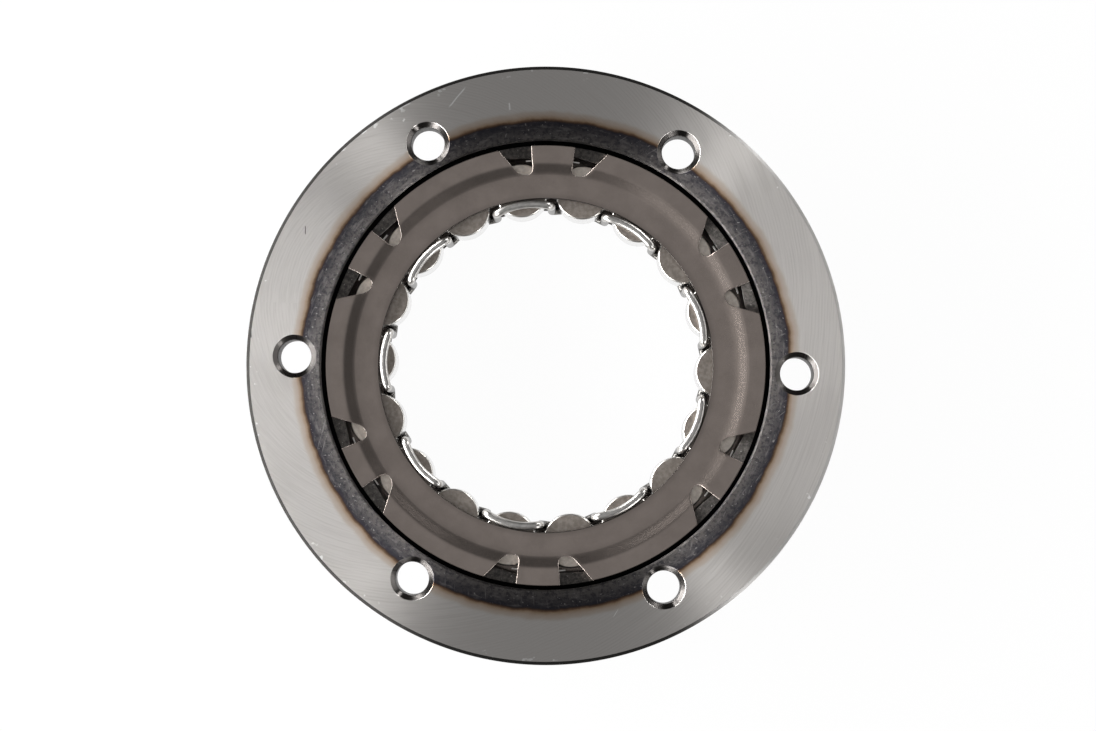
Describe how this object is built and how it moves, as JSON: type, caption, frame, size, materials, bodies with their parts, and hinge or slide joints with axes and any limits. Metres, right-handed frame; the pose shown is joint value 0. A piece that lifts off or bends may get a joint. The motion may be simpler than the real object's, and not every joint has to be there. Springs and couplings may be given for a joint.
{
  "type": "roller one-way clutch",
  "caption": "Flanged roller one-way clutch of a starter drive, with ramped housing, caged rollers, zigzag wire spring and tapped bolt circle.",
  "frame": {"origin": "centre of the back face, where the clutch rests when it lies on its back", "axes": "+Z along the axis towards the mounting face, +X through a bolt hole"},
  "size_m": [0.09, 0.09, 0.014],
  "materials": {
    "housing_steel": "turned and ground steel with a heat-tinted band round the seat",
    "plate_steel": "satin brown-grey pressed steel",
    "roller_steel": "matt tumbled ends and smooth ground sides",
    "spring_wire": "bright drawn spring wire",
    "spring_strip": "bright spring strip"
  },
  "bodies": {
    "housing": {"clutch_outer": "housing_steel", "rear_plate": "plate_steel"},
    "cage": {"cage_plate": "plate_steel", "roller_spring": "spring_wire", "tab_clip_1": "spring_strip", "tab_clip_2": "spring_strip", "tab_clip_3": "spring_strip", "tab_clip_4": "spring_strip", "tab_clip_5": "spring_strip", "tab_clip_6": "spring_strip"},
    "roller_01": {"roller_01": "roller_steel"},
    "roller_02": {"roller_02": "roller_steel"},
    "roller_03": {"roller_03": "roller_steel"},
    "roller_04": {"roller_04": "roller_steel"},
    "roller_05": {"roller_05": "roller_steel"},
    "roller_06": {"roller_06": "roller_steel"},
    "roller_07": {"roller_07": "roller_steel"},
    "roller_08": {"roller_08": "roller_steel"},
    "roller_09": {"roller_09": "roller_steel"},
    "roller_10": {"roller_10": "roller_steel"},
    "roller_11": {"roller_11": "roller_steel"},
    "roller_12": {"roller_12": "roller_steel"},
    "roller_13": {"roller_13": "roller_steel"},
    "roller_14": {"roller_14": "roller_steel"},
    "roller_15": {"roller_15": "roller_steel"},
    "roller_16": {"roller_16": "roller_steel"},
    "roller_17": {"roller_17": "roller_steel"},
    "roller_18": {"roller_18": "roller_steel"}
  },
  "joints": [
    {"name": "cage_turn", "type": "hinge", "parent": "housing", "child": "cage", "pos_m": [0, 0, 0.0121], "axis": [0, 0, 1], "range_deg": [-2.5, 2.5]},
    {"name": "roller_01_spin", "type": "hinge", "parent": "cage", "child": "roller_01", "pos_m": [0.0266, 0, 0.00675], "axis": [0, 0, 1], "continuous": true},
    {"name": "roller_02_spin", "type": "hinge", "parent": "cage", "child": "roller_02", "pos_m": [0.025, 0.0091, 0.00675], "axis": [0, 0, 1], "continuous": true},
    {"name": "roller_03_spin", "type": "hinge", "parent": "cage", "child": "roller_03", "pos_m": [0.02038, 0.0171, 0.00675], "axis": [0, 0, 1], "continuous": true},
    {"name": "roller_04_spin", "type": "hinge", "parent": "cage", "child": "roller_04", "pos_m": [0.0133, 0.02304, 0.00675], "axis": [0, 0, 1], "continuous": true},
    {"name": "roller_05_spin", "type": "hinge", "parent": "cage", "child": "roller_05", "pos_m": [0.00462, 0.0262, 0.00675], "axis": [0, 0, 1], "continuous": true},
    {"name": "roller_06_spin", "type": "hinge", "parent": "cage", "child": "roller_06", "pos_m": [-0.00462, 0.0262, 0.00675], "axis": [0, 0, 1], "continuous": true},
    {"name": "roller_07_spin", "type": "hinge", "parent": "cage", "child": "roller_07", "pos_m": [-0.0133, 0.02304, 0.00675], "axis": [0, 0, 1], "continuous": true},
    {"name": "roller_08_spin", "type": "hinge", "parent": "cage", "child": "roller_08", "pos_m": [-0.02038, 0.0171, 0.00675], "axis": [0, 0, 1], "continuous": true},
    {"name": "roller_09_spin", "type": "hinge", "parent": "cage", "child": "roller_09", "pos_m": [-0.025, 0.0091, 0.00675], "axis": [0, 0, 1], "continuous": true},
    {"name": "roller_10_spin", "type": "hinge", "parent": "cage", "child": "roller_10", "pos_m": [-0.0266, 0, 0.00675], "axis": [0, 0, 1], "continuous": true},
    {"name": "roller_11_spin", "type": "hinge", "parent": "cage", "child": "roller_11", "pos_m": [-0.025, -0.0091, 0.00675], "axis": [0, 0, 1], "continuous": true},
    {"name": "roller_12_spin", "type": "hinge", "parent": "cage", "child": "roller_12", "pos_m": [-0.02038, -0.0171, 0.00675], "axis": [0, 0, 1], "continuous": true},
    {"name": "roller_13_spin", "type": "hinge", "parent": "cage", "child": "roller_13", "pos_m": [-0.0133, -0.02304, 0.00675], "axis": [0, 0, 1], "continuous": true},
    {"name": "roller_14_spin", "type": "hinge", "parent": "cage", "child": "roller_14", "pos_m": [-0.00462, -0.0262, 0.00675], "axis": [0, 0, 1], "continuous": true},
    {"name": "roller_15_spin", "type": "hinge", "parent": "cage", "child": "roller_15", "pos_m": [0.00462, -0.0262, 0.00675], "axis": [0, 0, 1], "continuous": true},
    {"name": "roller_16_spin", "type": "hinge", "parent": "cage", "child": "roller_16", "pos_m": [0.0133, -0.02304, 0.00675], "axis": [0, 0, 1], "continuous": true},
    {"name": "roller_17_spin", "type": "hinge", "parent": "cage", "child": "roller_17", "pos_m": [0.02038, -0.0171, 0.00675], "axis": [0, 0, 1], "continuous": true},
    {"name": "roller_18_spin", "type": "hinge", "parent": "cage", "child": "roller_18", "pos_m": [0.025, -0.0091, 0.00675], "axis": [0, 0, 1], "continuous": true}
  ]
}
